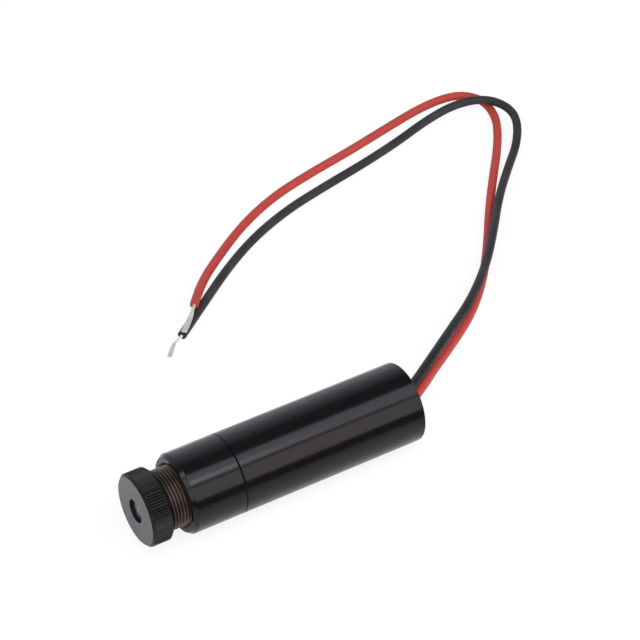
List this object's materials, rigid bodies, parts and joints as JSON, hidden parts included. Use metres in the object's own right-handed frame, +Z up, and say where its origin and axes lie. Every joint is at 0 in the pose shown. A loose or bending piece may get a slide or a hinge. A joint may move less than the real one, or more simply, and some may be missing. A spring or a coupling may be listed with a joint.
{
  "type": "laser diode module",
  "caption": "Round focusable laser diode module with a knurled threaded focus head and two loose bare-ended supply leads.",
  "frame": {"origin": "on the barrel's axis, half-way along the rear barrel, which is where a round holder grips it", "axes": "+X along the barrel's axis towards the focus head, the way the beam leaves; +Z up with the module lying on its side; the leads lie on the side of -Y and -X"},
  "size_m": [0.1007, 0.0724, 0.012],
  "materials": {
    "dark_brass": "blackened brass, matt on the face, worn to brown on the thread",
    "lens": "coated moulded lens",
    "spring_steel": "drawn spring wire",
    "black_barrel": "glossy black finish on turned metal",
    "plated_steel": "plated can",
    "window_glass": "clear",
    "chip": "polished semiconductor",
    "gold_pins": "plated pins",
    "raw_brass": "turned brass",
    "circuit_board": "green solder mask",
    "package_plastic": "moulded package",
    "resistor_ceramic": "glazed chip resistor",
    "capacitor_body": "moulded capacitor",
    "solder": "solder",
    "red_insulation": "soft plastic sleeve",
    "black_insulation": "soft plastic sleeve",
    "plug_plastic": "moulded plug",
    "tinned_copper": "tinned copper strands"
  },
  "bodies": {
    "barrel": {"front_barrel": "black_barrel", "diode_base": "plated_steel", "diode_cap": "plated_steel", "diode_window": "window_glass", "laser_chip": "chip", "monitor_photodiode": "chip", "diode_pins": "gold_pins", "diode_clamp_ring": "raw_brass", "driver_board": "circuit_board", "driver_chip": "package_plastic", "drive_transistor": "package_plastic", "sense_resistors": "resistor_ceramic", "filter_capacitor": "capacitor_body", "solder_joints": "solder", "red_inner_lead": "red_insulation", "black_inner_lead": "black_insulation", "rear_barrel": "black_barrel", "rear_plug": "plug_plastic", "red_lead": "red_insulation", "black_lead": "black_insulation", "red_strands": "tinned_copper", "black_strands": "tinned_copper"},
    "spring": {"focus_spring": "spring_steel"},
    "head": {"focus_head": "dark_brass", "collimating_lens": "lens", "lens_retaining_ring": "dark_brass"}
  },
  "joints": [
    {"name": "focus_travel", "type": "slide", "parent": "barrel", "child": "spring", "axis": [1, 0, 0], "range_m": [-0.00251, 0.00101], "deforming": ["focus_spring"]},
    {"name": "focus_turn", "type": "hinge", "parent": "spring", "child": "head", "pos_m": [0.0275, 0, 0], "axis": [1, 0, 0], "range_deg": [-1800, 720]}
  ],
  "couplings": [
    {"joint": "focus_travel", "follows": "focus_turn", "m_per_rad": 0.000079577}
  ]
}
